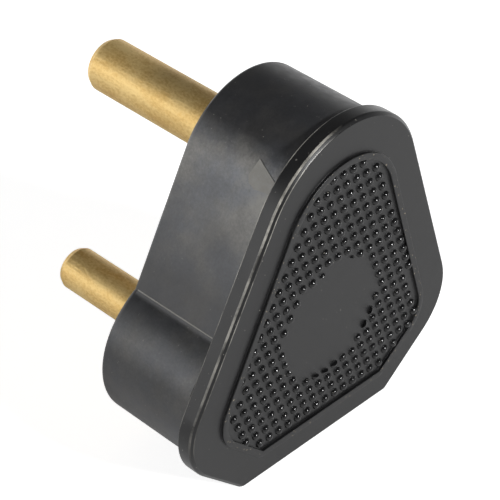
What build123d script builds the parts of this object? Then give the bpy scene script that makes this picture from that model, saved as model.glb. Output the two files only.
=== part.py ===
"""Three-pin mains plug with round brass pins, a lobed base and a domed front cover.

Frame: origin where the earth pin's axis crosses the pin face, +Y along the pins,
+Z towards the earth pin, +X to the right of someone who faces the front cover.
All sizes are millimetres.
"""

import math
import os

from build123d import *

# Pins
earth_radius = 4.35
earth_length = 28.6
live_radius = 3.525
live_length = 21.4
live_half_pitch = 12.7
earth_to_live = 28.58
tip_rounding = 1.1
pin_shoulder = 0.45
pin_face_cover = 0.5
neck_relief = 0.3
collar_lip = 1.4
collar_thickness = 2.0
wire_hole_radius = 1.6

# Base body
body_depth = 17.2
wall = 2.4
pin_wall = 3.6
earth_lobe_radius = 13.4
earth_lobe_drop = 1.2
live_lobe_radius = 13.4
live_lobe_x = 14.2
live_lobe_rise = 1.1
flank_lean = 24.0
body_edge_rounding = 0.9
fit_gap = 0.05

# Cord inlet and clamp
inlet_radius = 4.25
inlet_behind_face = 8.6
clamp_post_x = 7.6
clamp_post_radius = 2.8
clamp_above_floor = 3.1
clamp_length = 21.0
clamp_width = 6.0
clamp_thickness = 2.4
clamp_rib_height = 1.0
clamp_rib_width = 1.6
clamp_rib_length = 7.0

# Screws
terminal_shank_radius = 1.7
terminal_tip_gap = 0.3
terminal_head_radius = 2.9
terminal_head_height = 1.7
clamp_shank_radius = 1.45
clamp_shank_length = 8.0
clamp_head_radius = 2.6
clamp_head_height = 1.5
cover_shank_radius = 1.95
cover_shank_length = 11.0
cover_head_radius = 3.6
cover_head_height = 2.4
slot_width = 0.9
slot_depth = 0.8

# Cover fixing
fixing_drop = 17.5
counterbore_depth = 3.2
counterbore_gap = 0.3
pillar_radius = 5.2
pillar_length = 4.6
insert_radius = 3.0
insert_length = 7.5
boss_wall = 1.4

# Front cover
cover_thickness = 2.8
cover_chamfer = 0.5
cover_top_radius = 16.75
cover_top_drop = 3.5
cover_side_radius = 10.7
cover_side_x = 18.1
cover_side_drop = 29.45
cover_corner_radius = 1.2
cover_corner_x = 16.2
cover_corner_drop = 43.9
lip_depth = 2.4
lip_thickness = 1.5
lip_gap = 0.15
cover_clearance = 0.9

# Bead and domes of the front panel
bead_top_radius = 12.22
bead_top_drop = 4.42
bead_side_radius = 6.8
bead_side_x = 16.3
bead_side_drop = 28.87
bead_corner_radius = 1.5
bead_corner_x = 13.53
bead_corner_drop = 38.5
bead_width = 1.1
bead_height = 0.72
dome_radius = 0.72
dome_crown_radius = 0.34
dome_sides = 8
dome_height = 0.5
dome_pitch_x = 2.12
dome_pitch_z = 2.125
dome_top_rise = 4.84
dome_edge_margin = 0.3
disc_radius = 10.1
dome_least_left = 0.25
disc_drop = 21.3

# Places worked out from the sizes above
live_z = -earth_to_live
earth_lobe_centre = (0, -earth_lobe_drop)
live_lobe_centre = (live_lobe_x, live_z + live_lobe_rise)
body_floor_z = live_lobe_centre[1] - live_lobe_radius + wall
clamp_z = body_floor_z + clamp_above_floor
fixing_z = -fixing_drop
cover_front = body_depth + cover_thickness
collar_front = pin_wall + collar_thickness
post_front = body_depth - cover_clearance - terminal_head_height
post_length = post_front - collar_front
terminal_shank_length = post_length / 2 - terminal_tip_gap
wire_depth = collar_front + post_length / 2
post_tops = body_depth - lip_depth - cover_clearance - clamp_head_height - clamp_thickness
clamp_post_length = post_tops - pin_wall
pillar_front = pin_wall + pillar_length
dome_taper = math.degrees(math.atan2(dome_radius - dome_crown_radius, dome_height))
pin_places = [(0, 0), (-live_half_pitch, live_z), (live_half_pitch, live_z)]


def depth_plane(depth):
    """Plane parallel to the pin face, a given depth towards the front cover."""
    return Plane.XZ.offset(depth)


def lobed_outline(inset):
    """Outline of the base: earth lobe, slanting flanks and two live lobes, moved in by an inset."""
    lean = math.radians(flank_lean)
    top_radius = earth_lobe_radius - inset
    lobe_radius = live_lobe_radius - inset
    out_x, out_z = math.cos(lean), math.sin(lean)
    top_z = earth_lobe_centre[1]
    lobe_x, lobe_z = live_lobe_centre
    flank_reach = top_z * out_z + top_radius
    across = flank_reach - (lobe_x * out_x + lobe_z * out_z)
    along = math.sqrt(lobe_radius**2 - across**2)
    shoulder = (top_radius * out_x, top_z + top_radius * out_z)
    crease = (lobe_x + across * out_x - along * out_z, lobe_z + across * out_z + along * out_x)
    with BuildSketch(mode=Mode.PRIVATE) as outline:
        with BuildLine():
            crown = (0, top_z + top_radius)
            halfway = math.radians(90 - flank_lean) / 2
            on_crown = (top_radius * math.sin(halfway), top_z + top_radius * math.cos(halfway))
            ThreePointArc(crown, on_crown, shoulder)
            Line(shoulder, crease)
            ThreePointArc(crease, (lobe_x + lobe_radius, lobe_z), (lobe_x, lobe_z - lobe_radius))
            Line((lobe_x, lobe_z - lobe_radius), (0, lobe_z - lobe_radius))
            mirror(about=Plane.YZ)
        make_face()
    return outline.sketch


def rounded_outline(top_radius, top_drop, side, corner):
    """Five-sided outline: the hull of a top circle, two side circles and two bottom corner circles."""
    with BuildSketch(mode=Mode.PRIVATE) as outline:
        with Locations((0, -top_drop)):
            Circle(top_radius)
        for radius, x, drop in (side, corner):
            with Locations((x, -drop), (-x, -drop)):
                Circle(radius)
        make_hull()
    return outline.sketch


def bead_outline(inset):
    """Outline of the bead on the front panel, moved in by an inset."""
    return rounded_outline(bead_top_radius - inset, bead_top_drop,
                           (bead_side_radius - inset, bead_side_x, bead_side_drop),
                           (bead_corner_radius - inset, bead_corner_x, bead_corner_drop))


def turned_pin(place, radius, length):
    """Brass pin with a rounded tip, a neck and shoulder in the pin wall, a collar and a drilled terminal post."""
    x, z = place
    with BuildPart() as pin:
        with BuildSketch(depth_plane(0)):
            with Locations((x, z)):
                Circle(radius)
        extrude(amount=-length)
        tip = pin.faces().sort_by(Axis.Y)[-1]
        fillet(tip.edges(), tip_rounding)
        with BuildSketch(depth_plane(0)):
            with Locations((x, z)):
                Circle(radius - neck_relief)
        extrude(amount=pin_face_cover)
        with BuildSketch(depth_plane(pin_face_cover)):
            with Locations((x, z)):
                Circle(radius + pin_shoulder)
        extrude(amount=pin_wall - pin_face_cover)
        with BuildSketch(depth_plane(pin_wall)):
            with Locations((x, z)):
                Circle(radius + collar_lip)
        extrude(amount=collar_thickness)
        with BuildSketch(depth_plane(collar_front)):
            with Locations((x, z)):
                Circle(radius)
        extrude(amount=post_length)
        with BuildSketch(Plane.YZ.offset(x - 2 * radius)):
            with Locations((-wire_depth, z)):
                Circle(wire_hole_radius)
        extrude(amount=4 * radius, mode=Mode.SUBTRACT)
        with BuildSketch(depth_plane(post_front)):
            with Locations((x, z)):
                Circle(terminal_shank_radius + fit_gap)
        extrude(amount=-(post_length / 2), mode=Mode.SUBTRACT)
    return pin


def slotted_screws(places, seat_depth, shank_radius, shank_length, head_radius, head_height, head_forward):
    """Group of cheese-head screws whose heads seat at one depth and face the front or the pins."""
    towards = 1 if head_forward else -1
    with BuildPart() as screws:
        with BuildSketch(depth_plane(seat_depth)):
            with Locations(*places):
                Circle(shank_radius)
        extrude(amount=-towards * shank_length)
        with BuildSketch(depth_plane(seat_depth)):
            with Locations(*places):
                Circle(head_radius)
        extrude(amount=towards * head_height)
        with BuildSketch(depth_plane(seat_depth + towards * head_height)):
            with Locations(*places):
                Rectangle(3 * head_radius, slot_width)
        extrude(amount=-towards * slot_depth, mode=Mode.SUBTRACT)
    return screws


def dome_places(panel):
    """Centres of the domes: staggered rows inside the bead, those that the smooth disc doesn't cut away."""
    places = []
    rim = panel.outer_wire()
    box = panel.bounding_box()
    for row in range(math.ceil((box.max.Y - box.min.Y) / dome_pitch_z) + 2):
        z = dome_top_rise - row * dome_pitch_z
        shift = 0 if row % 2 else dome_pitch_x / 2
        columns = math.ceil(box.max.X / dome_pitch_x)
        for column in range(-columns - 1, columns + 1):
            x = column * dome_pitch_x + shift
            centre = Vector(x, z, 0)
            clear_of_disc = math.hypot(x, z + disc_drop) + dome_radius > disc_radius + dome_least_left
            if clear_of_disc and panel.is_inside(centre) and rim.distance_to(centre) > dome_edge_margin:
                places.append((x, z))
    return places


# Base body: lobed shell with a pin wall, pin holes, cord inlet, clamp posts and a screw pillar
with BuildPart() as base_body:
    with BuildSketch(depth_plane(0)):
        add(lobed_outline(0))
    extrude(amount=body_depth)
    back_edges = base_body.faces().sort_by(Axis.Y)[-1].edges()
    fillet(back_edges, body_edge_rounding)
    with BuildSketch(depth_plane(pin_wall)):
        add(lobed_outline(wall))
    extrude(amount=body_depth, mode=Mode.SUBTRACT)
    with BuildSketch(depth_plane(pin_wall)):
        with Locations((clamp_post_x, clamp_z), (-clamp_post_x, clamp_z)):
            Circle(clamp_post_radius)
    extrude(amount=clamp_post_length)
    with BuildSketch(depth_plane(pin_wall)):
        with Locations((0, fixing_z)):
            Circle(pillar_radius)
    extrude(amount=pillar_length)
    for place, radius in zip(pin_places, (earth_radius, live_radius, live_radius)):
        with BuildSketch(depth_plane(0)):
            with Locations(place):
                Circle(radius + fit_gap)
        extrude(amount=pin_wall, mode=Mode.SUBTRACT)
        with BuildSketch(depth_plane(pin_face_cover)):
            with Locations(place):
                Circle(radius + pin_shoulder + fit_gap)
        extrude(amount=pin_wall - pin_face_cover, mode=Mode.SUBTRACT)
    with BuildSketch(depth_plane(post_tops)):
        with Locations((clamp_post_x, clamp_z), (-clamp_post_x, clamp_z)):
            Circle(clamp_shank_radius + fit_gap)
    extrude(amount=-(clamp_shank_length - clamp_thickness + fit_gap), mode=Mode.SUBTRACT)
    with BuildSketch(depth_plane(0)):
        with Locations((0, fixing_z)):
            Circle(cover_shank_radius + counterbore_gap)
    extrude(amount=pillar_front, mode=Mode.SUBTRACT)
    with BuildSketch(depth_plane(0)):
        with Locations((0, fixing_z)):
            Circle(cover_head_radius + counterbore_gap)
    extrude(amount=counterbore_depth, mode=Mode.SUBTRACT)
    with BuildSketch(Plane.XY.offset(body_floor_z + fit_gap)):
        with Locations((0, -inlet_behind_face)):
            Circle(inlet_radius)
    extrude(amount=-2 * wall, mode=Mode.SUBTRACT)

# Front cover: chamfered plate, locating lip, insert boss, raised bead and domes
with BuildPart() as front_cover:
    with BuildSketch(depth_plane(body_depth)):
        add(rounded_outline(cover_top_radius, cover_top_drop,
                            (cover_side_radius, cover_side_x, cover_side_drop),
                            (cover_corner_radius, cover_corner_x, cover_corner_drop)))
    extrude(amount=cover_thickness)
    chamfer(front_cover.faces().sort_by(Axis.Y)[0].edges(), cover_chamfer)
    with BuildSketch(depth_plane(body_depth)):
        add(lobed_outline(wall + lip_gap))
        add(lobed_outline(wall + lip_gap + lip_thickness), mode=Mode.SUBTRACT)
    extrude(amount=-lip_depth)
    with BuildSketch(depth_plane(body_depth)):
        with Locations((0, fixing_z)):
            Circle(insert_radius + boss_wall)
    extrude(amount=-(body_depth - pillar_front))
    with BuildSketch(depth_plane(pillar_front)):
        with Locations((0, fixing_z)):
            Circle(insert_radius + fit_gap)
    extrude(amount=insert_length, mode=Mode.SUBTRACT)
    panel = bead_outline(bead_width)
    with BuildSketch(depth_plane(cover_front)):
        add(bead_outline(0))
        add(panel, mode=Mode.SUBTRACT)
    extrude(amount=bead_height)
    with BuildPart(Plane.XY, mode=Mode.PRIVATE) as domes:
        with BuildSketch():
            with Locations(*dome_places(panel.faces()[0])):
                RegularPolygon(dome_radius, dome_sides)
        extrude(amount=dome_height, taper=dome_taper)
        with BuildSketch():
            with Locations((0, -disc_drop)):
                Circle(disc_radius)
        extrude(amount=dome_height, mode=Mode.SUBTRACT)
    with Locations(depth_plane(cover_front)):
        add(domes.part)

# Threaded insert in the cover's boss
with BuildPart() as cover_insert:
    with BuildSketch(depth_plane(pillar_front)):
        with Locations((0, fixing_z)):
            Circle(insert_radius)
            Circle(cover_shank_radius + fit_gap, mode=Mode.SUBTRACT)
    extrude(amount=insert_length)

# Cord clamp: a bar on the two clamp posts, with a rib that grips the cord
with BuildPart() as cord_clamp:
    with BuildSketch(depth_plane(post_tops)):
        with Locations((0, clamp_z)):
            SlotOverall(clamp_length, clamp_width)
        with Locations((clamp_post_x, clamp_z), (-clamp_post_x, clamp_z)):
            Circle(clamp_shank_radius + fit_gap, mode=Mode.SUBTRACT)
    extrude(amount=clamp_thickness)
    with BuildSketch(depth_plane(post_tops)):
        with Locations((0, clamp_z)):
            Rectangle(clamp_rib_length, clamp_rib_width)
    extrude(amount=-clamp_rib_height)

# Pins and screws
earth_pin = turned_pin(pin_places[0], earth_radius, earth_length)
line_pin = turned_pin(pin_places[1], live_radius, live_length)
neutral_pin = turned_pin(pin_places[2], live_radius, live_length)
terminal_screws = slotted_screws(pin_places, post_front, terminal_shank_radius, terminal_shank_length,
                                 terminal_head_radius, terminal_head_height, True)
clamp_screws = slotted_screws([(clamp_post_x, clamp_z), (-clamp_post_x, clamp_z)], post_tops + clamp_thickness,
                              clamp_shank_radius, clamp_shank_length, clamp_head_radius, clamp_head_height, True)
cover_screw = slotted_screws([(0, fixing_z)], counterbore_depth, cover_shank_radius, cover_shank_length,
                             cover_head_radius, cover_head_height, False)

pieces = {
    "base_body": base_body,
    "front_cover": front_cover,
    "earth_pin": earth_pin,
    "line_pin": line_pin,
    "neutral_pin": neutral_pin,
    "terminal_screws": terminal_screws,
    "cord_clamp": cord_clamp,
    "clamp_screws": clamp_screws,
    "cover_screw": cover_screw,
    "cover_insert": cover_insert,
}
os.makedirs("parts", exist_ok=True)
for label, piece in pieces.items():
    piece.part.label = label
    export_step(piece.part, f"parts/{label}.step")
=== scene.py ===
"""Looks of the three-pin plug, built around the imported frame.

Smooth dressed pieces, procedural finishes, and a studio with the photograph's light and camera.
"""

import logging
import math
from dataclasses import dataclass
from enum import Enum, IntEnum
from typing import Callable, Iterator, Mapping, Sequence

import bmesh
import bpy
from mathutils import Matrix, Vector


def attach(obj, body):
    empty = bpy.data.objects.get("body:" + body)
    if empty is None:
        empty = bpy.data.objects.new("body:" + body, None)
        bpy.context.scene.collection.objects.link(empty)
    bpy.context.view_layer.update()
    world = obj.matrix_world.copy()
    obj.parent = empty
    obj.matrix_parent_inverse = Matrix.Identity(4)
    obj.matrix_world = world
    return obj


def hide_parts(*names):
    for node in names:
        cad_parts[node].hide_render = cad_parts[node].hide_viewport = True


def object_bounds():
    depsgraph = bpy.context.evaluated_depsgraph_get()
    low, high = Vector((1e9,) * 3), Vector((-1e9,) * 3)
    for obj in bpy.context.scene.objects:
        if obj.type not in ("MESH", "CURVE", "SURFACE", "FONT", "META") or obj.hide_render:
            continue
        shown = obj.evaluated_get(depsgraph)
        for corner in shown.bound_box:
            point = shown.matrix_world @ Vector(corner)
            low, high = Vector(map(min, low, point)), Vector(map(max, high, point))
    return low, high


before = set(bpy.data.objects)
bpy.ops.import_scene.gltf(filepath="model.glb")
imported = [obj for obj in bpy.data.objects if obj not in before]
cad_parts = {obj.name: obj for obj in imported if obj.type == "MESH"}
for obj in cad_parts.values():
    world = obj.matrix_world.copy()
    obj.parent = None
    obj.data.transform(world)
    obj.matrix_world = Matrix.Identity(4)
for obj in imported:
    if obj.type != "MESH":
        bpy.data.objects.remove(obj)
CAD_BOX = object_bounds()
LOG = logging.getLogger("plug")

MM = 0.001
WELD = 0.001 * MM
# Setback of the centre of an edge's rounding at a 45 degree corner, for a radius of 1.
CORNER_SETBACK = 0.41
# A Mix node's colour sockets share their names with its number sockets, so their places find them.
MIX_COLOURS = (6, 7)
MIX_RESULT = 2
WHITE = (1.0, 1.0, 1.0, 1.0)

Flat = tuple[float, float]
Triple = tuple[float, float, float]
# Low and high end of a value, and what each end becomes.
Stretch = tuple[float, float, float, float]
Move = Callable[[Vector], Vector]


class Slot(Enum):
    """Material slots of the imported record."""

    BASE = "base_rubber"
    COVER = "cover_plastic"
    PIN = "pin_brass"
    SCREW = "screw_steel"
    CLAMP = "clamp_plastic"


class PlateBand(IntEnum):
    """Finishes of the cover plate's bands, in the order of its materials."""

    PLAIN = 0
    # Rounded rim edges: pale scuff and painted highlight.
    WORN_HIGHLIT = 1
    DUSTY = 2


class NodeSketch:
    """Shader nodes of one tree, added and linked by short calls."""

    def __init__(self, tree: bpy.types.NodeTree, coordinates: str) -> None:
        """Starts with a texture coordinate node.

        Args:
            tree: node tree of a material or a world.
            coordinates: name of the coordinates that the nodes work in.
        """
        self.tree = tree
        self.place = self.add("ShaderNodeTexCoord").outputs[coordinates]

    def add(self, kind: str) -> bpy.types.Node:
        """Adds a node of a kind and returns it."""
        return self.tree.nodes.new(kind)

    def link(self, source: bpy.types.NodeSocket, target: bpy.types.NodeSocket) -> None:
        """Links a source to a node's input."""
        self.tree.links.new(source, target)

    def ray(self, kind: str) -> bpy.types.NodeSocket:
        """Value that is 1 for rays of a named kind and 0 for others."""
        return self.add("ShaderNodeLightPath").outputs[kind]

    def part(self, vector: bpy.types.NodeSocket, name: str) -> bpy.types.NodeSocket:
        """Takes one part of a vector.

        Args:
            vector: the vector socket.
            name: X, Y or Z.

        Returns:
            The part's value socket.
        """
        split = self.add("ShaderNodeSeparateXYZ")
        self.link(vector, split.inputs["Vector"])
        return split.outputs[name]

    def axis(self, name: str) -> bpy.types.NodeSocket:
        """Coordinate along X, Y or Z."""
        return self.part(self.place, name)

    def facing(self, name: str) -> bpy.types.NodeSocket:
        """How far the surface faces along X, Y or Z."""
        return self.part(self.add("ShaderNodeNewGeometry").outputs["Normal"], name)

    def stretched(self, scale: Triple) -> bpy.types.NodeSocket:
        """Coordinates with each axis scaled by its own factor.

        Args:
            scale: factors along X, Y and Z.

        Returns:
            The vector socket of the scaled coordinates.
        """
        mapping = self.add("ShaderNodeMapping")
        mapping.inputs["Scale"].default_value = scale
        self.link(self.place, mapping.inputs["Vector"])
        return mapping.outputs["Vector"]

    def noise(self, cell_mm: float, detail: float = 3.0, roughness: float = 0.55,
              place: bpy.types.NodeSocket | None = None) -> bpy.types.NodeSocket:
        """Noise whose cells have about a given size.

        Args:
            cell_mm: size of a cell in millimetres.
            detail: octaves of finer noise.
            roughness: strength of the finer octaves.
            place: coordinates to use in place of the sketch's own.

        Returns:
            The noise value socket, from 0 to 1.
        """
        node = self.add("ShaderNodeTexNoise")
        node.inputs["Scale"].default_value = 1.0 / (cell_mm * MM)
        node.inputs["Detail"].default_value = detail
        node.inputs["Roughness"].default_value = roughness
        self.link(place or self.place, node.inputs["Vector"])
        return node.outputs["Fac"]

    def ramp(self, source: bpy.types.NodeSocket, low: float, high: float,
             to_low: float = 0.0, to_high: float = 1.0) -> bpy.types.NodeSocket:
        """Stretches a range of a value to another range, clamped at both ends.

        Args:
            source: the value socket.
            low: value that gives to_low.
            high: value that gives to_high.
            to_low: result at low.
            to_high: result at high.

        Returns:
            The stretched value socket.
        """
        node = self.add("ShaderNodeMapRange")
        names = ("From Min", "From Max", "To Min", "To Max")
        for name, value in zip(names, (low, high, to_low, to_high)):
            node.inputs[name].default_value = value
        self.link(source, node.inputs["Value"])
        return node.outputs["Result"]

    def fade(self, source: bpy.types.NodeSocket, span_mm: Flat, ends: Flat) -> bpy.types.NodeSocket:
        """Ramp between two places along a coordinate.

        Args:
            source: the coordinate's socket.
            span_mm: first and last place in millimetres.
            ends: result at each of them.

        Returns:
            The ramp's value socket.
        """
        low, high = span_mm
        return self.ramp(source, low * MM, high * MM, *ends)

    def math(self, operation: str, left: bpy.types.NodeSocket,
             right: bpy.types.NodeSocket | float) -> bpy.types.NodeSocket:
        """Combines two values by a Math node.

        Args:
            operation: name of the Math node's operation.
            left: first value socket.
            right: second value, a socket or a number.

        Returns:
            The result socket.
        """
        node = self.add("ShaderNodeMath")
        node.operation = operation
        self.link(left, node.inputs[0])
        if isinstance(right, (int, float)):
            node.inputs[1].default_value = right
        else:
            self.link(right, node.inputs[1])
        return node.outputs["Value"]

    def blend(self, factor: bpy.types.NodeSocket, first: Triple | bpy.types.NodeSocket,
              second: Triple | bpy.types.NodeSocket) -> bpy.types.NodeSocket:
        """Mixes two colours, each an RGB triple or a colour socket.

        Args:
            factor: share of the second colour.
            first: colour at factor 0.
            second: colour at factor 1.

        Returns:
            The mixed colour socket.
        """
        node = self.add("ShaderNodeMix")
        node.data_type = "RGBA"
        self.link(factor, node.inputs["Factor"])
        for place, colour in zip(MIX_COLOURS, (first, second)):
            if isinstance(colour, bpy.types.NodeSocket):
                self.link(colour, node.inputs[place])
            else:
                node.inputs[place].default_value = (*colour, 1.0)
        return node.outputs[MIX_RESULT]


class NodeCanvas(NodeSketch):
    """Shader nodes of one material round a Principled shader, in object coordinates."""

    def __init__(self, name: str) -> None:
        """Starts a material with one Principled shader.

        Args:
            name: the material's name.
        """
        self.material = bpy.data.materials.new(name)
        self.material.use_nodes = True
        self.material.node_tree.nodes.clear()
        super().__init__(self.material.node_tree, "Object")
        self.shader = self.add("ShaderNodeBsdfPrincipled")
        output = self.add("ShaderNodeOutputMaterial")
        self.link(self.shader.outputs["BSDF"], output.inputs["Surface"])

    def set(self, **values: object) -> None:
        """Sets sockets of the Principled shader; underscores stand for spaces."""
        for name, value in values.items():
            self.shader.inputs[name.replace("_", " ")].default_value = value

    def feed(self, socket: str, source: bpy.types.NodeSocket) -> None:
        """Links a source to a socket of the Principled shader."""
        self.link(source, self.shader.inputs[socket])

    def bump(self, height: bpy.types.NodeSocket, depth_mm: float, strength: float) -> None:
        """Feeds a bump to the shader's normal.

        Args:
            height: the height's value socket.
            depth_mm: depth of the bump in millimetres.
            strength: share of the bump that shows.
        """
        node = self.add("ShaderNodeBump")
        node.inputs["Strength"].default_value = strength
        node.inputs["Distance"].default_value = depth_mm * MM
        self.link(height, node.inputs["Height"])
        self.feed("Normal", node.outputs["Normal"])


@dataclass(frozen=True)
class RubberFinish:
    """Matte black moulded rubber with a dusty, mottled pale film on its flanks; the film's share
    also paints light and shade: lighter where the flanks face the left lamp, a painted highlight
    band on the lobes and painted shade on the crown.
    """

    name: str = "moulded_rubber"
    dark: Triple = (0.014, 0.014, 0.0155)
    cool_bloom_and_sheen: Triple = (0.21, 0.22, 0.24)
    warm_bloom_and_sheen: Triple = (0.305, 0.296, 0.277)
    dust: Triple = (0.2, 0.19, 0.17)
    patch_mm: float = 9.0
    patch_shares: Stretch = (0.3, 0.68, 0.6, 1.1)
    mottle_mm: float = 1.6
    mottle_shares: Stretch = (0.3, 0.7, 0.75, 1.2)
    grain_mm: float = 0.4
    grain_shares: Stretch = (0.3, 0.7, 0.85, 1.15)
    hue_scale: float = 0.6
    hue_range: Flat = (0.4, 0.62)
    speck_mm: float = 0.4
    speck_range: Flat = (0.76, 0.82)
    low_fade_mm: Flat = (-12.0, 4.0)
    # Painted shade: the pale share falls away over the crown, which faces the dim overhead.
    crown_shade_mm: Flat = (5.0, 9.5)
    low_share: float = 0.16
    crown_shade_share: float = 0.08
    # Painted highlight: a pale band round the lobes, where they mirror the left lamp.
    highlight_band_mm: Flat = (-21.0, 5.0)
    highlight_band_share: float = 0.42
    rim_mm: Flat = (-16.0, -3.0)
    rim_bloom: Flat = (1.2, 0.82)
    rough: Stretch = (0.3, 0.7, 0.36, 0.48)
    bump_mm: float = 0.02
    bump_strength: float = 0.5
    ior: float = 1.5

    def bloom_and_painted_light(self, canvas: NodeCanvas) -> bpy.types.NodeSocket:
        """Share of the pale film, which also paints light and shade: most on the flanks beside the
        rim, lit by the left lamp, a painted highlight band on the lobes, painted shade on the
        crown, little elsewhere.

        Args:
            canvas: the material's nodes.

        Returns:
            The share's value socket.
        """
        height = canvas.axis("Z")
        rising = canvas.fade(height, self.low_fade_mm, (self.low_share, 1.0))
        # Painted shade over the up-facing crown.
        crown_shade = canvas.fade(height, self.crown_shade_mm, (1.0, self.crown_shade_share))
        # Painted highlight band round the lobes.
        middle, reach = self.highlight_band_mm
        away = canvas.math("ABSOLUTE", canvas.math("SUBTRACT", height, middle * MM), 0.0)
        band = canvas.fade(away, (0.0, reach), (self.highlight_band_share, 0.0))
        patches = canvas.noise(self.patch_mm, detail=5.0, roughness=0.6)
        mottle = canvas.noise(self.mottle_mm, detail=5.0, roughness=0.7)
        grain = canvas.noise(self.grain_mm, detail=4.0, roughness=0.7)
        share = canvas.math("MAXIMUM", canvas.math("MINIMUM", rising, crown_shade), band)
        for factor in (
            canvas.ramp(patches, *self.patch_shares),
            canvas.ramp(mottle, *self.mottle_shares),
            canvas.ramp(grain, *self.grain_shares),
            canvas.fade(canvas.axis("Y"), self.rim_mm, self.rim_bloom),
        ):
            share = canvas.math("MULTIPLY", share, factor)
        return share

    def material(self) -> bpy.types.Material:
        """Builds the rubber's nodes.

        Returns:
            The material.
        """
        canvas = NodeCanvas(self.name)
        hue = canvas.ramp(canvas.noise(self.patch_mm * self.hue_scale, detail=4.0), *self.hue_range)
        # Pale colour of the dusty film, which also carries the painted light on the flanks and
        # lobes.
        bloom_and_painted_light = canvas.blend(hue, self.cool_bloom_and_sheen, self.warm_bloom_and_sheen)
        tone = canvas.blend(self.bloom_and_painted_light(canvas), self.dark, bloom_and_painted_light)
        specks = canvas.ramp(canvas.noise(self.speck_mm, detail=1.0), *self.speck_range)
        canvas.feed("Base Color", canvas.blend(specks, tone, self.dust))
        canvas.feed("Roughness", canvas.ramp(canvas.noise(self.mottle_mm, detail=4.0), *self.rough))
        canvas.set(IOR=self.ior)
        canvas.bump(canvas.noise(self.grain_mm, detail=4.0), self.bump_mm, self.bump_strength)
        return canvas.material


@dataclass(frozen=True)
class CoverFinish:
    """Satin black moulded plastic with faint mottling, a few dust specks and, where the scuff share
    is set, a pale edge colour that is partly scuff and partly a painted highlight.
    """

    name: str = "satin_plastic"
    dark: Triple = (0.006, 0.006, 0.0065)
    pale: Triple = (0.011, 0.011, 0.0115)
    dust: Triple = (0.2, 0.19, 0.17)
    scuffed_and_highlit: Triple = (0.5, 0.48, 0.43)
    wear_and_highlight: float = 0.0
    least_wear_and_highlight: float = 0.15
    break_range: Flat = (0.4, 0.62)
    # Painted highlight: the pale edge colour is kept to edges facing left and up, towards the left
    # lamp, and grows with height.
    lit_left: Flat = (-0.1, -0.3)
    lit_up: Flat = (-0.25, 0.1)
    highlight_heights_mm: Flat = (-30.0, 6.0)
    highlight_shares: Flat = (0.3, 1.25)
    patch_mm: float = 4.0
    patch_range: Flat = (0.35, 0.7)
    rough: Flat = (0.34, 0.44)
    rough_range: Flat = (0.3, 0.75)
    grain_mm: float = 0.22
    speck_mm: float = 0.4
    speck_from: float = 0.77
    speck_edge: float = 0.05
    bump_mm: float = 0.012
    bump_strength: float = 0.5
    ior: float = 1.5

    def scuffs_and_highlight(self, canvas: NodeCanvas) -> bpy.types.NodeSocket:
        """Share of the pale edge colour, partly scuff and partly painted highlight: broken along
        the edge, only where it faces left towards the left lamp, most high up.

        Args:
            canvas: the material's nodes.

        Returns:
            The share's value socket.
        """
        # Painted highlight: only edges that face left and up, towards the left lamp.
        left = canvas.ramp(canvas.facing("X"), *self.lit_left)
        up = canvas.ramp(canvas.facing("Z"), *self.lit_up)
        noise = canvas.noise(self.patch_mm, detail=5.0, roughness=0.65)
        broken = canvas.ramp(noise, *self.break_range, self.least_wear_and_highlight * self.wear_and_highlight, self.wear_and_highlight)
        share = canvas.math("MULTIPLY", canvas.math("MULTIPLY", left, up), broken)
        high = canvas.fade(canvas.axis("Z"), self.highlight_heights_mm, self.highlight_shares)
        return canvas.math("MULTIPLY", share, high)

    def material(self) -> bpy.types.Material:
        """Builds the plastic's nodes.

        Returns:
            The material.
        """
        canvas = NodeCanvas(self.name)
        patches = canvas.noise(self.patch_mm, detail=4.0)
        tone = canvas.blend(canvas.ramp(patches, *self.patch_range), self.dark, self.pale)
        # Pale edge colour: partly scuff, partly painted highlight.
        if self.wear_and_highlight:
            tone = canvas.blend(self.scuffs_and_highlight(canvas), tone, self.scuffed_and_highlit)
        speck_to = self.speck_from + self.speck_edge
        specks = canvas.ramp(canvas.noise(self.speck_mm, detail=0.5), self.speck_from, speck_to)
        canvas.feed("Base Color", canvas.blend(specks, tone, self.dust))
        canvas.feed("Roughness", canvas.ramp(patches, *self.rough_range, *self.rough))
        canvas.set(IOR=self.ior)
        canvas.bump(canvas.noise(self.grain_mm, detail=3.0), self.bump_mm, self.bump_strength)
        return canvas.material


@dataclass(frozen=True)
class BrassFinish:
    """Satin turned brass with a fine grain along the pin and faint tarnish."""

    name: str = "satin_brass"
    bright: Triple = (0.9, 0.66, 0.285)
    tarnish: Triple = (0.71, 0.452, 0.142)
    tone_range: Flat = (0.4, 0.58)
    metal: float = 0.66
    grain_mm: float = 0.3
    grain_length: float = 1.6
    cloud_mm: float = 3.0
    cloud_scale: Triple = (1.0, 0.4, 1.0)
    rough: Stretch = (0.3, 0.7, 0.42, 0.56)
    bump_mm: float = 0.06
    bump_strength: float = 1.0

    def material(self) -> bpy.types.Material:
        """Builds the brass's nodes.

        Returns:
            The material.
        """
        canvas = NodeCanvas(self.name)
        along = canvas.stretched((1.0, 1.0 / self.grain_length, 1.0))
        grain = canvas.noise(self.grain_mm, detail=3.0, place=along)
        cloud = canvas.noise(self.cloud_mm, detail=4.0, place=canvas.stretched(self.cloud_scale))
        mean = canvas.math("MULTIPLY", canvas.math("ADD", grain, cloud), 0.5)
        tone = canvas.blend(canvas.ramp(mean, *self.tone_range), self.tarnish, self.bright)
        canvas.feed("Base Color", tone)
        canvas.feed("Roughness", canvas.ramp(grain, *self.rough))
        canvas.set(Metallic=self.metal)
        canvas.bump(grain, self.bump_mm, self.bump_strength)
        return canvas.material


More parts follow.
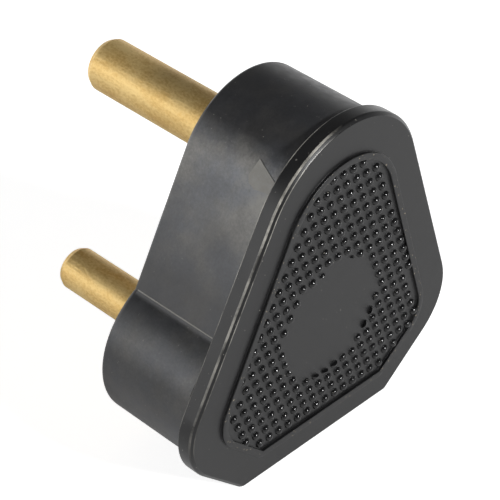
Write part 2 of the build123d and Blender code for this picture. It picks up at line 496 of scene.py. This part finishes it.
@dataclass(frozen=True)
class SteelFinish:
    """Plated steel with a fine grain."""

    name: str = "plated_steel"
    bright: Triple = (0.62, 0.62, 0.6)
    dull: Triple = (0.4, 0.39, 0.36)
    tone_range: Flat = (0.35, 0.65)
    grain_mm: float = 0.3
    rough: Stretch = (0.3, 0.7, 0.25, 0.42)
    bump_mm: float = 0.01
    bump_strength: float = 0.5

    def material(self) -> bpy.types.Material:
        """Builds the steel's nodes.

        Returns:
            The material.
        """
        canvas = NodeCanvas(self.name)
        grain = canvas.noise(self.grain_mm, detail=4.0)
        tone = canvas.blend(canvas.ramp(grain, *self.tone_range), self.dull, self.bright)
        canvas.feed("Base Color", tone)
        canvas.feed("Roughness", canvas.ramp(grain, *self.rough))
        canvas.set(Metallic=1.0)
        canvas.bump(grain, self.bump_mm, self.bump_strength)
        return canvas.material


class Surface:
    """Mesh under construction: rings of points joined by quads."""

    def __init__(self) -> None:
        """Starts an empty mesh."""
        self.mesh = bmesh.new()

    def ring(self, points: Sequence[Vector]) -> list[bmesh.types.BMVert]:
        """Adds a ring of points and returns its vertices."""
        return [self.mesh.verts.new(point) for point in points]

    def join(self, first: list[bmesh.types.BMVert],
             second: list[bmesh.types.BMVert]) -> list[bmesh.types.BMFace]:
        """Joins two rings of the same count with a band of quads.

        Args:
            first: vertices of one ring.
            second: vertices of the other.

        Returns:
            The band's faces.
        """
        first_next, second_next = first[1:] + first[:1], second[1:] + second[:1]
        quads = zip(first, first_next, second_next, second)
        return [self.mesh.faces.new(corners) for corners in quads]

    def loft(self, rings: Sequence[Sequence[Vector]],
             finishes: Mapping[int, int] | None = None) -> None:
        """Joins a run of rings, each to the next, and fills the first and the last.

        Args:
            rings: rings of points with the same count.
            finishes: finish of the band that starts at a ring, 0 where it isn't named.
        """
        loops = [self.ring(ring) for ring in rings]
        for number, (first, second) in enumerate(zip(loops, loops[1:])):
            for face in self.join(first, second):
                face.material_index = (finishes or {}).get(number, 0)
        self.mesh.faces.new(tuple(reversed(loops[0])))
        self.mesh.faces.new(tuple(loops[-1]))

    def take(self, other: "Surface") -> None:
        """Moves another mesh's faces into this one.

        Args:
            other: the mesh to move, which is used up.
        """
        data = bpy.data.meshes.new("taken")
        other.mesh.to_mesh(data)
        other.mesh.free()
        self.mesh.from_mesh(data)
        bpy.data.meshes.remove(data)

    def piece(self, name: str, finish: bpy.types.Material, slot: Slot,
              sharp_degrees: float = 40.0) -> bpy.types.Object:
        """Ends the mesh and makes it a smooth-shaded piece of the plug.

        Args:
            name: the piece's name.
            finish: material that dresses it.
            slot: the record's slot; not used.
            sharp_degrees: edges that turn by more stay sharp.

        Returns:
            The new object, which rides on the plug's body.
        """
        bmesh.ops.recalc_face_normals(self.mesh, faces=self.mesh.faces)
        for face in self.mesh.faces:
            face.smooth = True
        data = bpy.data.meshes.new(name)
        self.mesh.to_mesh(data)
        self.mesh.free()
        data.set_sharp_from_angle(angle=math.radians(sharp_degrees))
        data.materials.append(finish)
        made = bpy.data.objects.new(name, data)
        bpy.context.scene.collection.objects.link(made)
        weigh = made.modifiers.new("even_normals", "WEIGHTED_NORMAL")
        weigh.keep_sharp = True
        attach(made, "root")
        return made


def smooth_copy(node: str, finish: bpy.types.Material, slot: Slot, sharp_degrees: float = 32.0,
                reshape: Move | None = None) -> bpy.types.Object:
    """Makes a welded, smooth-shaded piece of a CAD node's own shape, which stands for the node.

    Args:
        node: name of the CAD node.
        finish: material that dresses the piece.
        slot: the record's slot; passed on to the piece, which does not use it.
        sharp_degrees: edges that turn by more stay sharp.
        reshape: moves each point of the shape, in millimetres.

    Returns:
        The new object.
    """
    surface = Surface()
    surface.mesh.from_mesh(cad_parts[node].data)
    bmesh.ops.remove_doubles(surface.mesh, verts=surface.mesh.verts, dist=WELD)
    if reshape:
        for vertex in surface.mesh.verts:
            vertex.co = reshape(vertex.co / MM) * MM
    made = surface.piece(node + "_dressed", finish, slot, sharp_degrees)
    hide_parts(node)
    return made


@dataclass(frozen=True)
class HullOutline:
    """Convex outline drawn tight round a few circles and sampled by the direction it faces.

    Each circle is (radius, x, z) in mm. Where the outline is mirrored, side circles are repeated
    on the left.
    """

    circles: tuple[Triple, ...]
    samples: int = 240
    mirrored: bool = True

    def around(self) -> Iterator[tuple[float, float, float, float, float]]:
        """Walks round the outline, step by step.

        Returns:
            At each step, the touching circle's radius, x and z, and the facing direction's x and z.
        """
        every = []
        for radius, x, z in self.circles:
            sides = (1, -1) if x and self.mirrored else (1,)
            every += [(radius, side * x, z) for side in sides]
        for step in range(self.samples):
            turn = 2 * math.pi * (step + 0.5) / self.samples
            out_x, out_z = math.cos(turn), math.sin(turn)
            radius, x, z = max(every, key=lambda c: c[0] + c[1] * out_x + c[2] * out_z)
            yield radius, x, z, out_x, out_z

    def ring(self, inset: float, y: float) -> list[Vector]:
        """Draws the outline moved in by an inset.

        Args:
            inset: distance inwards in millimetres.
            y: place along Y in millimetres.

        Returns:
            The outline's points in metres.
        """
        return [
            Vector((x + (radius - inset) * out_x, y, z + (radius - inset) * out_z)) * MM
            for radius, x, z, out_x, out_z in self.around()
        ]

    def depth(self, x: float, z: float) -> float:
        """Distance of a point inside the outline, negative outside."""
        return min(r + (cx - x) * ox + (cz - z) * oz for r, cx, cz, ox, oz in self.around())


def rounded_corner(inset: float, y: float, radius: float, start: float, end: float,
                   steps: int = 4) -> list[Flat]:
    """Points (inset, y) of an arc in the section of a swept edge.

    Args:
        inset: inset of the arc's centre.
        y: place of the arc's centre along Y.
        radius: radius of the arc.
        start: first angle in degrees, 0 towards smaller inset and 90 towards the front.
        end: last angle in degrees.
        steps: steps along the arc.

    Returns:
        The points in order.
    """
    turns = [math.radians(start + (end - start) * step / steps) for step in range(steps + 1)]
    return [(inset - radius * math.cos(turn), y - radius * math.sin(turn)) for turn in turns]


@dataclass
class FrontCover:
    """Front cover: chamfered rim, raised bead, and small domes round a smooth disc. Sizes in mm."""

    back_y: float = -17.2
    face_y: float = -20.0
    chamfer: float = 0.5
    back_edge: float = 0.22
    side_edge: float = 0.45
    front_edge: float = 0.22
    back_reach: float = 6.5
    face_margin: float = 0.3
    bead_width: float = 1.1
    bead_height: float = 0.48
    bead_edge: float = 0.1
    bead_foot: float = 0.04
    bead_margin: float = 0.06
    bead_steps: int = 3
    dome_radius: float = 0.72
    dome_height: float = 0.56
    dome_pitch_x: float = 2.12
    dome_pitch_z: float = 2.125
    dome_top: float = 4.84
    dome_edge_margin: float = 0.3
    dome_least_left: float = 0.25
    dome_rows: int = 24
    dome_columns: int = 24
    dome_rings: int = 6
    dome_sides: int = 22
    disc_radius: float = 10.1
    disc_z: float = -21.3
    sharp_degrees: float = 60.0
    rim: HullOutline = HullOutline(((16.75, 0, -3.5), (10.7, 18.1, -29.45), (1.2, 16.2, -43.9)))
    bead: HullOutline = HullOutline(
        ((12.22, -0.25, -4.98), (6.8, 16.09, -29.93), (6.8, -16.0, -29.14), (1.5, 13.78, -38.88),
         (1.5, -13.11, -38.88)), mirrored=False)

    def rim_section(self) -> tuple[list[Flat], list[int]]:
        """Section of the rim from the hidden back to the front face.

        Returns:
            The section's points (inset, y), and the numbers of those that start a band of the
            rounded edges, which take the pale scuff and painted highlight.
        """
        back, side, front = self.back_edge, self.side_edge, self.front_edge
        side_y = self.face_y + self.chamfer + side * CORNER_SETBACK
        front_inset = self.chamfer + front * CORNER_SETBACK
        section = [(self.back_reach, self.back_y)]
        worn_highlit = []
        for corner in (
            rounded_corner(back, self.back_y - back, back, -90, 0),
            rounded_corner(side, side_y, side, 0, 45),
            rounded_corner(front_inset, self.face_y + front, front, 45, 90),
        ):
            worn_highlit += range(len(section), len(section) + len(corner) - 1)
            section += corner
        return section, worn_highlit

    def bead_section(self) -> list[Flat]:
        """Section of the bead from its outer foot over the crest to the panel's floor.

        Returns:
            The section's points (inset, y).
        """
        crest = self.face_y - self.bead_height
        edge, foot, width = self.bead_edge, self.bead_foot, self.bead_width
        outer = rounded_corner(-foot, self.face_y - foot, -foot, 90, 0, self.bead_steps)
        outer += rounded_corner(edge, crest + edge, edge, 0, 90, self.bead_steps)
        inner = [(width - inset, y) for inset, y in reversed(outer)]
        start = (-foot - self.bead_margin, self.face_y)
        end = (width + foot + self.bead_margin, self.face_y)
        return [start] + outer + inner + [end]

    def plate(self, finishes: Mapping[PlateBand, bpy.types.Material]) -> bpy.types.Object:
        """Builds the rim, face, bead and panel floor as one smooth skin.

        Args:
            finishes: material of each kind of band.

        Returns:
            The plate, which stands for the cover.
        """
        section, worn_highlit = self.rim_section()
        rings = [self.rim.ring(inset, y) for inset, y in section]
        rings.append(self.rim.ring(self.chamfer + self.face_margin, self.face_y))
        bead = self.bead_section()
        crest = len(rings) + len(bead) // 2
        bands = {number: PlateBand.WORN_HIGHLIT for number in worn_highlit}
        bands.update({number: PlateBand.DUSTY for number in range(crest - 2, crest + 1)})
        rings += [self.bead.ring(inset, y) for inset, y in bead]
        surface = Surface()
        surface.loft(rings, bands)
        plain = finishes[PlateBand.PLAIN]
        made = surface.piece("cover_plate", plain, Slot.COVER, self.sharp_degrees)
        for band in (PlateBand.WORN_HIGHLIT, PlateBand.DUSTY):
            made.data.materials.append(finishes[band])
        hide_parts("front_cover")
        return made

    def dome_places(self) -> list[Flat]:
        """Finds the domes: staggered rows inside the bead, less those that the disc cuts away.

        Returns:
            The domes' centres (x, z).
        """
        places = []
        least_depth = self.bead_width + self.dome_edge_margin
        for row in range(self.dome_rows):
            z = self.dome_top - row * self.dome_pitch_z
            shift = 0.0 if row % 2 else self.dome_pitch_x / 2
            for column in range(self.dome_columns):
                x = (column - self.dome_columns // 2) * self.dome_pitch_x + shift
                left = math.hypot(x, z - self.disc_z) + self.dome_radius - self.disc_radius
                if left > self.dome_least_left and self.bead.depth(x, z) > least_depth:
                    places.append((x, z))
        return places

    def dome(self, surface: Surface, x: float, z: float) -> None:
        """Adds one rounded cap to a mesh, cut by the edge of the smooth disc where it crosses it.

        Args:
            surface: mesh that takes the cap.
            x: place of its centre along X.
            z: place of its centre along Z.
        """
        ball = (self.dome_radius**2 + self.dome_height**2) / (2 * self.dome_height)
        opening = math.asin(self.dome_radius / ball)
        turns = [2 * math.pi * side / self.dome_sides for side in range(self.dome_sides)]
        rings = []
        for step in range(self.dome_rings):
            tilt = opening * (1 - step / self.dome_rings)
            radius = ball * math.sin(tilt)
            y = self.face_y - self.dome_height + ball * (1 - math.cos(tilt))
            rings.append([
                Vector((x + radius * math.cos(turn), y, z + radius * math.sin(turn))) * MM
                for turn in turns
            ])
        cap = Surface()
        cap.loft(rings)
        outward = Vector((x, 0.0, z - self.disc_z))
        if outward.length < self.disc_radius + self.dome_radius:
            outward.normalize()
            edge = (Vector((0.0, self.face_y, self.disc_z)) + outward * self.disc_radius) * MM
            parts = [*cap.mesh.verts, *cap.mesh.edges, *cap.mesh.faces]
            cut = bmesh.ops.bisect_plane(cap.mesh, geom=parts, plane_co=edge, plane_no=outward,
                                         clear_inner=True)
            rim = [part for part in cut["geom_cut"] if isinstance(part, bmesh.types.BMEdge)]
            bmesh.ops.edgenet_fill(cap.mesh, edges=rim)
        surface.take(cap)

    def domes(self, finish: bpy.types.Material) -> bpy.types.Object:
        """Builds every dome as a rounded cap that stands on the panel's floor.

        Args:
            finish: material of the domes.

        Returns:
            The piece with all the domes.
        """
        surface = Surface()
        for x, z in self.dome_places():
            self.dome(surface, x, z)
        return surface.piece("cover_domes", finish, Slot.COVER, self.sharp_degrees)

    def build(self) -> list[bpy.types.Object]:
        """Builds the plate and the domes with their finishes.

        Returns:
            The two pieces.
        """
        plain = CoverFinish()
        # Rounded rim edges: pale scuff that also paints their highlight from the left lamp.
        worn_highlit = CoverFinish(name="worn_highlit_plastic", wear_and_highlight=0.8, rough=(0.26, 0.36))
        dusty = CoverFinish(name="dusty_plastic", speck_from=0.7, dust=(0.26, 0.22, 0.16))
        glossy = CoverFinish(name="glossy_plastic", rough=(0.18, 0.24))
        plate = self.plate({
            PlateBand.PLAIN: plain.material(),
            PlateBand.WORN_HIGHLIT: worn_highlit.material(),
            PlateBand.DUSTY: dusty.material(),
        })
        return [plate, self.domes(glossy.material())]


@dataclass
class BaseBody:
    """Lobed rubber base on the CAD node's own shape, its flank pad and a painted highlight line
    above each crease. Sizes in mm.

    The crown is an arc of the lobe (radius, x, z), and a leaning flank runs from it to each crease.
    """

    node: str = "base_body"
    lobe: Triple = (13.4, 0.0, -1.2)
    lean_degrees: float = 24.0
    flank_reach: float = 12.912
    crown_z: float = 12.2
    crown_margin: float = 0.05
    crown_swell: float = 0.55
    skin: float = 1.0
    wall: float = 0.3
    crease: Flat = (21.31, -16.12)
    # Painted highlight: a pale strip a hair proud of the flank above each crease, where its fillet
    # catches the left lamp.
    crease_ends: Flat = (-0.9, -17.15)
    crease_width: float = 0.18
    crease_rises: Flat = (0.03, 0.015)
    pad_corners: tuple[Flat, ...] = ((-12.54, 7.59), (-17.1, 5.93), (-17.1, 4.75), (-13.77, 4.24),
                                     (-12.55, 4.61), (-12.01, 5.49))
    pad_rise: float = 0.13

    def swell(self, z: float) -> float:
        """Outward swell of the wall at a height, full at the crown and none at the creases."""
        share = (z - self.crease[1]) / (self.crown_z - self.crease[1])
        return self.crown_swell * max(0.0, share) ** 2

    def facing(self, x: float, z: float) -> Vector:
        """Finds where the outer wall faces at a place above the creases.

        Args:
            x: place along X.
            z: place along Z.

        Returns:
            The direction, of length 1.
        """
        lean = math.radians(self.lean_degrees)
        radial = Vector((x - self.lobe[1], 0.0, z - self.lobe[2])).normalized()
        if radial.z > math.sin(lean):
            return radial
        return Vector((math.copysign(math.cos(lean), x), 0.0, math.sin(lean)))

    def reach(self, z: float) -> float:
        """Finds the outer wall's half width, without its swell, at a height above the creases.

        Args:
            z: the height.

        Returns:
            The half width.
        """
        lean = math.radians(self.lean_degrees)
        radius, _, middle = self.lobe
        if z > middle + radius * math.sin(lean):
            return math.sqrt(radius**2 - (z - middle) ** 2)
        return (self.flank_reach - z * math.sin(lean)) / math.cos(lean)

    def swollen(self, point: Vector) -> Vector:
        """Moves a point of the outer wall out by the swell and leaves other points.

        Args:
            point: the point in millimetres.

        Returns:
            Its new place.
        """
        x, _, z = point
        half_width = self.reach(min(z, self.crown_z - self.crown_margin))
        on_flank = z > self.crease[1] and abs(x) > half_width - self.skin
        if on_flank or z > self.crown_z - self.skin:
            return point + self.facing(x, z) * self.swell(z)
        return point

    def pad(self, finish: bpy.types.Material) -> bpy.types.Object:
        """Builds the pale raised pad on the left flank beside the rim.

        Args:
            finish: material of the pad.

        Returns:
            The pad.
        """
        rings = []
        for rise in (-self.wall, self.pad_rise):
            ring = []
            for y, z in self.pad_corners:
                foot = Vector((-self.reach(z), y, z))
                ring.append((foot + self.facing(foot.x, z) * (self.swell(z) + rise)) * MM)
            rings.append(ring)
        surface = Surface()
        surface.loft(rings)
        return surface.piece("flank_pad", finish, Slot.BASE)

    def crease_highlight(self, finish: bpy.types.Material) -> bpy.types.Object:
        """Builds the thin pale line above each crease, a painted highlight where the crease's
        fillet catches the left lamp.

        Args:
            finish: material of the pale line.

        Returns:
            The piece with both lines.
        """
        surface = Surface()
        low_rise, high_rise = self.crease_rises
        for side in (-1, 1):
            low = Vector((side * self.crease[0], 0.0, self.crease[1]))
            out = self.facing(low.x, low.z)
            high = low + Vector((-side * out.z, 0.0, abs(out.x))) * self.crease_width
            corners = [low - out * self.wall, low + out * low_rise,
                       high + out * high_rise, high - out * self.wall]
            surface.loft([
                [(corner + Vector((0.0, y, 0.0))) * MM for corner in corners]
                for y in self.crease_ends
            ])
        return surface.piece("crease_highlight", finish, Slot.BASE)

    def build(self, finish: bpy.types.Material,
              pale_finish: bpy.types.Material) -> list[bpy.types.Object]:
        """Builds the base, its pad and the painted highlight line above its creases.

        Args:
            finish: material of the base.
            pale_finish: material of the pad and the painted crease highlight.

        Returns:
            The three pieces.
        """
        body = smooth_copy(self.node, finish, Slot.BASE, reshape=self.swollen)
        return [body, self.pad(pale_finish), self.crease_highlight(pale_finish)]


@dataclass
class Pin:
    """One turned brass pin with a bevelled tip. Sizes in mm."""

    node: str
    x: float
    z: float
    radius: float
    bevel_start: float
    bevel_slope: float = 0.5
    sharp_degrees: float = 20.0

    def bevelled(self, point: Vector) -> Vector:
        """Brings a point of the rounded tip onto a straight bevel and leaves other points.

        Args:
            point: the point in millimetres.

        Returns:
            Its new place.
        """
        off = Vector((point.x - self.x, 0.0, point.z - self.z))
        limit = self.radius - self.bevel_slope * (point.y - self.bevel_start)
        if point.y <= self.bevel_start or off.length <= limit:
            return point
        return point + off * (limit / off.length - 1.0)

    def build(self, finish: bpy.types.Material) -> bpy.types.Object:
        """Builds the pin and returns it."""
        return smooth_copy(self.node, finish, Slot.PIN, self.sharp_degrees, self.bevelled)


@dataclass
class PinSet:
    """The three pins and the cover's insert, all of brass."""

    pins: tuple[Pin, ...] = (
        Pin("earth_pin", 0.0, 0.0, 4.35, 27.5),
        Pin("line_pin", -12.7, -28.58, 3.525, 20.3),
        Pin("neutral_pin", 12.7, -28.58, 3.525, 20.3),
    )
    insert: str = "cover_insert"

    def build(self, finish: bpy.types.Material) -> list[bpy.types.Object]:
        """Builds the pins and the insert and returns them."""
        made = [pin.build(finish) for pin in self.pins]
        return made + [smooth_copy(self.insert, finish, Slot.PIN)]


@dataclass
class Fixings:
    """Screws and cord clamp inside the base, and the cover's screw."""

    screws: tuple[str, ...] = ("terminal_screws", "clamp_screws", "cover_screw")
    clamp: str = "cord_clamp"

    def build(self, steel: bpy.types.Material,
              plastic: bpy.types.Material) -> list[bpy.types.Object]:
        """Builds the screws and the clamp bar and returns them."""
        made = [smooth_copy(node, steel, Slot.SCREW) for node in self.screws]
        return made + [smooth_copy(self.clamp, plastic, Slot.CLAMP)]


@dataclass(frozen=True)
class Softbox:
    """Rectangular soft light that faces the plug. Sizes in metres, power in watts."""

    name: str
    place: Triple
    size: Flat
    power: float
    target: Triple = (0.0, 0.0, -0.02)

    def build(self) -> bpy.types.Object:
        """Hangs the light.

        Returns:
            The light object.
        """
        data = bpy.data.lights.new(self.name, "AREA")
        data.shape = "RECTANGLE"
        data.size, data.size_y = self.size
        data.energy = self.power
        light = bpy.data.objects.new(self.name, data)
        light.location = self.place
        aim = Vector(self.target) - Vector(self.place)
        light.rotation_euler = aim.to_track_quat("-Z", "Y").to_euler()
        bpy.context.scene.collection.objects.link(light)
        return light


@dataclass
class Studio:
    """Pale floor, soft lights and the camera of the photograph. Sizes in metres."""

    floor_size: float = 6.0
    floor_front: float = 0.4
    floor_colour: Triple = (0.9, 0.9, 0.9)
    floor_rough: float = 0.9
    floor_seen: float = 0.8
    floor_mirrored: Flat = (0.2, 1.0)
    floor_brighter: Flat = (0.04, 0.12)
    sweep_heights: Flat = (0.12, 0.38)
    sweep_strengths: Flat = (1.05, 0.12)
    sweep_depths: Stretch = (-0.6, 0.0, 0.1, 1.0)
    lamps: tuple[Softbox, ...] = (
        Softbox("left_window", (-0.86, 0.5, 0.2), (2.0, 0.56), 5.2),
        Softbox("front_lamp", (0.05, -0.62, 0.29), (0.085, 0.085), 4.0),
    )
    camera_place: Triple = (-0.185565, -0.157927, 0.161455)
    camera_right: Triple = (0.67760, -0.73204, 0.07055)
    camera_up: Triple = (0.40059, 0.44784, 0.79936)
    camera_lens: float = 143.86
    camera_sensor: float = 36.0
    camera_near: float = 0.01

    def floor_material(self, middle: float) -> bpy.types.Material:
        """Builds a pale matte floor that looks white and mirrors brighter behind the right side.

        Args:
            middle: place of the floor's middle along Y.

        Returns:
            The material.
        """
        canvas = NodeCanvas("studio_floor")
        canvas.set(Base_Color=(*self.floor_colour, 1.0), Roughness=self.floor_rough)
        through = canvas.ray("Is Transmission Ray")
        straight = canvas.math("ADD", canvas.ray("Is Camera Ray"), through)
        seen = canvas.math("MULTIPLY", straight, self.floor_seen)
        across = canvas.math("ADD", canvas.axis("X"), canvas.axis("Y"))
        near, far = self.floor_brighter
        level = canvas.ramp(across, near - middle, far - middle, *self.floor_mirrored)
        mirrored = canvas.math("MULTIPLY", canvas.ray("Is Glossy Ray"), level)
        canvas.set(Emission_Color=WHITE)
        canvas.feed("Emission Strength", canvas.math("ADD", seen, mirrored))
        return canvas.material

    def floor(self) -> bpy.types.Object:
        """Lays the floor under the plug.

        Returns:
            The floor object.
        """
        middle = self.floor_size / 2 - self.floor_front
        grid = bmesh.new()
        bmesh.ops.create_grid(grid, x_segments=1, y_segments=1, size=self.floor_size / 2)
        data = bpy.data.meshes.new("studio_floor")
        grid.to_mesh(data)
        grid.free()
        data.materials.append(self.floor_material(middle))
        floor = bpy.data.objects.new("studio_floor", data)
        floor.location = (0.0, middle, CAD_BOX[0][2])
        bpy.context.scene.collection.objects.link(floor)
        return floor

    def world(self) -> None:
        """Sets a world that looks white and lights as a sweep, pale low down and dim overhead."""
        world = bpy.data.worlds.new("studio_world")
        world.use_nodes = True
        sketch = NodeSketch(world.node_tree, "Generated")
        low = sketch.ramp(sketch.axis("Z"), *self.sweep_heights, *self.sweep_strengths)
        behind = sketch.ramp(sketch.axis("Y"), *self.sweep_depths)
        light = sketch.math("MULTIPLY", low, behind)
        strength = sketch.math("MAXIMUM", light, sketch.ray("Is Camera Ray"))
        background = world.node_tree.nodes["Background"]
        sketch.link(strength, background.inputs["Strength"])
        background.inputs["Color"].default_value = WHITE
        bpy.context.scene.world = world

    def camera(self) -> bpy.types.Object:
        """Sets the camera at the photograph's place, turn and field of view.

        Returns:
            The camera object.
        """
        data = bpy.data.cameras.new("photo_camera")
        data.lens = self.camera_lens
        data.sensor_width = self.camera_sensor
        data.clip_start = self.camera_near
        camera = bpy.data.objects.new("photo_camera", data)
        right = Vector(self.camera_right).normalized()
        back = right.cross(Vector(self.camera_up)).normalized()
        turn = Matrix((right, back.cross(right), back)).transposed().to_4x4()
        camera.matrix_world = Matrix.Translation(self.camera_place) @ turn
        bpy.context.scene.collection.objects.link(camera)
        bpy.context.scene.camera = camera
        return camera

    def build(self) -> None:
        """Builds the floor, lights, world and camera."""
        self.floor()
        for lamp in self.lamps:
            lamp.build()
        self.world()
        self.camera()


def main() -> None:
    """Builds the plug's pieces in order, then the studio."""
    logging.basicConfig(level=logging.INFO, format="%(name)s: %(message)s")
    bpy.context.scene.view_settings.view_transform = "Standard"
    brass = BrassFinish().material()
    steel = SteelFinish().material()
    # Pale rubber of the flank pad; it also paints the highlight line above each crease.
    pale_finish = RubberFinish(name="pale_rubber", dark=(0.25, 0.24, 0.215),
                          cool_bloom_and_sheen=(0.27, 0.26, 0.235), patch_mm=2.0)
    pieces = BaseBody().build(RubberFinish().material(), pale_finish.material())
    pieces += FrontCover().build()
    pieces += PinSet().build(brass)
    pieces += Fixings().build(steel, CoverFinish(name="clamp_plastic").material())
    for piece in pieces:
        LOG.info("%s: %d faces", piece.name, len(piece.data.polygons))
    Studio().build()


if __name__ == "__main__":
    main()
